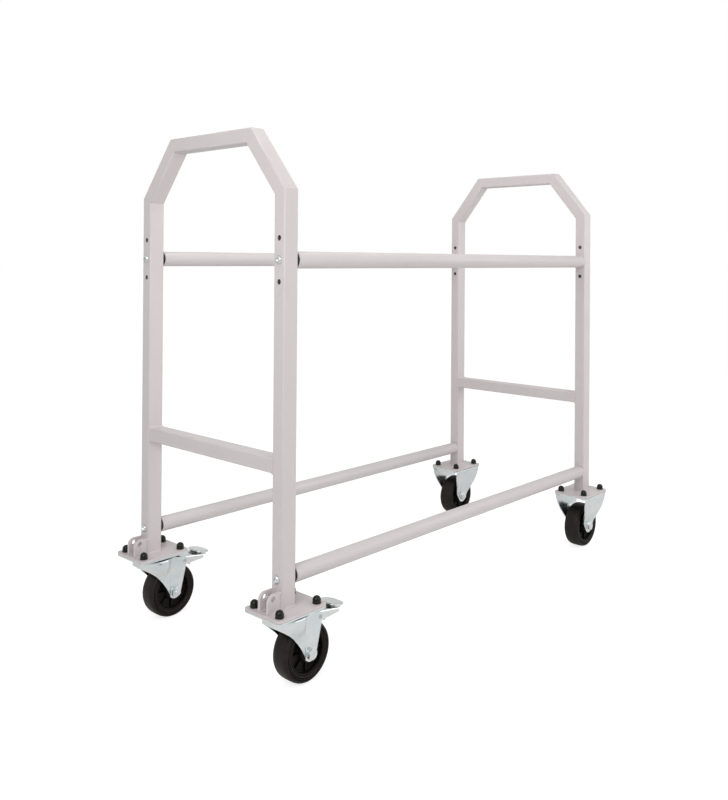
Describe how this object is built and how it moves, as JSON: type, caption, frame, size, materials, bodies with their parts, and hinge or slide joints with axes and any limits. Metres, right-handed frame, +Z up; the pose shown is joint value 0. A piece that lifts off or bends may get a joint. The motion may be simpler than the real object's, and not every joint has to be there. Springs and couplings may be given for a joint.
{
  "type": "tyre trolley",
  "caption": "Wheeled tyre rack: two hoop ends of rectangular tube joined by round rails that hold standing tyres, on casters with brake pedals.",
  "frame": {"origin": "on the floor, at the centre of the trolley's footprint", "axes": "+X along the rails from the braked swivel casters to the fixed casters, +Y to the left, +Z up"},
  "size_m": [1.065, 0.46, 0.905],
  "materials": {
    "frame_paint": "light grey powder coat",
    "rail_paint": "light grey powder coat",
    "zinc": "bright zinc plate",
    "zinc_sheet": "bright zinc plated pressed sheet",
    "inner_steel": "plain steel",
    "dark_plug": "dark moulded plug",
    "black_cap": "glossy black",
    "black_hub": "matt black",
    "tyre_rubber": "black rubber"
  },
  "bodies": {
    "frame": {"brake_end_right_upright": "frame_paint", "brake_end_left_upright": "frame_paint", "fixed_end_right_upright": "frame_paint", "fixed_end_left_upright": "frame_paint", "brake_end_right_shoulder": "frame_paint", "brake_end_left_shoulder": "frame_paint", "fixed_end_right_shoulder": "frame_paint", "fixed_end_left_shoulder": "frame_paint", "brake_end_top_bar": "frame_paint", "fixed_end_top_bar": "frame_paint", "brake_end_crossbar": "frame_paint", "fixed_end_crossbar": "frame_paint", "brake_end_right_base_plate": "frame_paint", "brake_end_left_base_plate": "frame_paint", "fixed_end_right_base_plate": "frame_paint", "fixed_end_left_base_plate": "frame_paint", "right_tow_ears": "frame_paint", "left_tow_ears": "frame_paint", "right_upper_rail": "rail_paint", "left_upper_rail": "rail_paint", "right_lower_rail": "rail_paint", "left_lower_rail": "rail_paint", "rail_end_plugs": "dark_plug", "rail_inserts": "inner_steel", "rail_screws": "zinc", "caster_bolts": "zinc", "caster_nuts": "zinc", "nut_caps": "black_cap", "right_swivel_plate": "zinc_sheet", "right_kingpin": "inner_steel", "right_bearing_balls": "inner_steel", "right_lower_race": "inner_steel", "right_fixed_bracket": "zinc_sheet", "right_fixed_axle": "zinc", "right_fixed_sleeve": "inner_steel", "left_swivel_plate": "zinc_sheet", "left_kingpin": "inner_steel", "left_bearing_balls": "inner_steel", "left_lower_race": "inner_steel", "left_fixed_bracket": "zinc_sheet", "left_fixed_axle": "zinc", "left_fixed_sleeve": "inner_steel"},
    "right_swivel": {"right_swivel_fork": "zinc_sheet", "right_swivel_axle": "zinc", "right_swivel_sleeve": "inner_steel", "right_brake_pin": "inner_steel"},
    "right_swivel_wheel": {"right_swivel_hub": "black_hub", "right_swivel_tyre": "tyre_rubber"},
    "right_pedal": {"right_brake_pedal": "zinc_sheet"},
    "right_fixed_wheel": {"right_fixed_hub": "black_hub", "right_fixed_tyre": "tyre_rubber"},
    "left_swivel": {"left_swivel_fork": "zinc_sheet", "left_swivel_axle": "zinc", "left_swivel_sleeve": "inner_steel", "left_brake_pin": "inner_steel"},
    "left_swivel_wheel": {"left_swivel_hub": "black_hub", "left_swivel_tyre": "tyre_rubber"},
    "left_pedal": {"left_brake_pedal": "zinc_sheet"},
    "left_fixed_wheel": {"left_fixed_hub": "black_hub", "left_fixed_tyre": "tyre_rubber"}
  },
  "joints": [
    {"name": "right_caster_swivel", "type": "hinge", "parent": "frame", "child": "right_swivel", "pos_m": [-0.48, -0.1875, 0.12], "axis": [0, 0, 1], "continuous": true},
    {"name": "right_swivel_wheel_spin", "type": "hinge", "parent": "right_swivel", "child": "right_swivel_wheel", "pos_m": [-0.445, -0.1875, 0.05], "axis": [0, 1, 0], "continuous": true},
    {"name": "right_brake_press", "type": "hinge", "parent": "right_swivel", "child": "right_pedal", "pos_m": [-0.423, -0.1875, 0.1025], "axis": [0, 1, 0], "range_deg": [0, 12]},
    {"name": "right_fixed_wheel_spin", "type": "hinge", "parent": "frame", "child": "right_fixed_wheel", "pos_m": [0.48, -0.1875, 0.05], "axis": [0, 1, 0], "continuous": true},
    {"name": "left_caster_swivel", "type": "hinge", "parent": "frame", "child": "left_swivel", "pos_m": [-0.48, 0.1875, 0.12], "axis": [0, 0, 1], "continuous": true},
    {"name": "left_swivel_wheel_spin", "type": "hinge", "parent": "left_swivel", "child": "left_swivel_wheel", "pos_m": [-0.445, 0.1875, 0.05], "axis": [0, 1, 0], "continuous": true},
    {"name": "left_brake_press", "type": "hinge", "parent": "left_swivel", "child": "left_pedal", "pos_m": [-0.423, 0.1875, 0.1025], "axis": [0, 1, 0], "range_deg": [0, 12]},
    {"name": "left_fixed_wheel_spin", "type": "hinge", "parent": "frame", "child": "left_fixed_wheel", "pos_m": [0.48, 0.1875, 0.05], "axis": [0, 1, 0], "continuous": true}
  ]
}
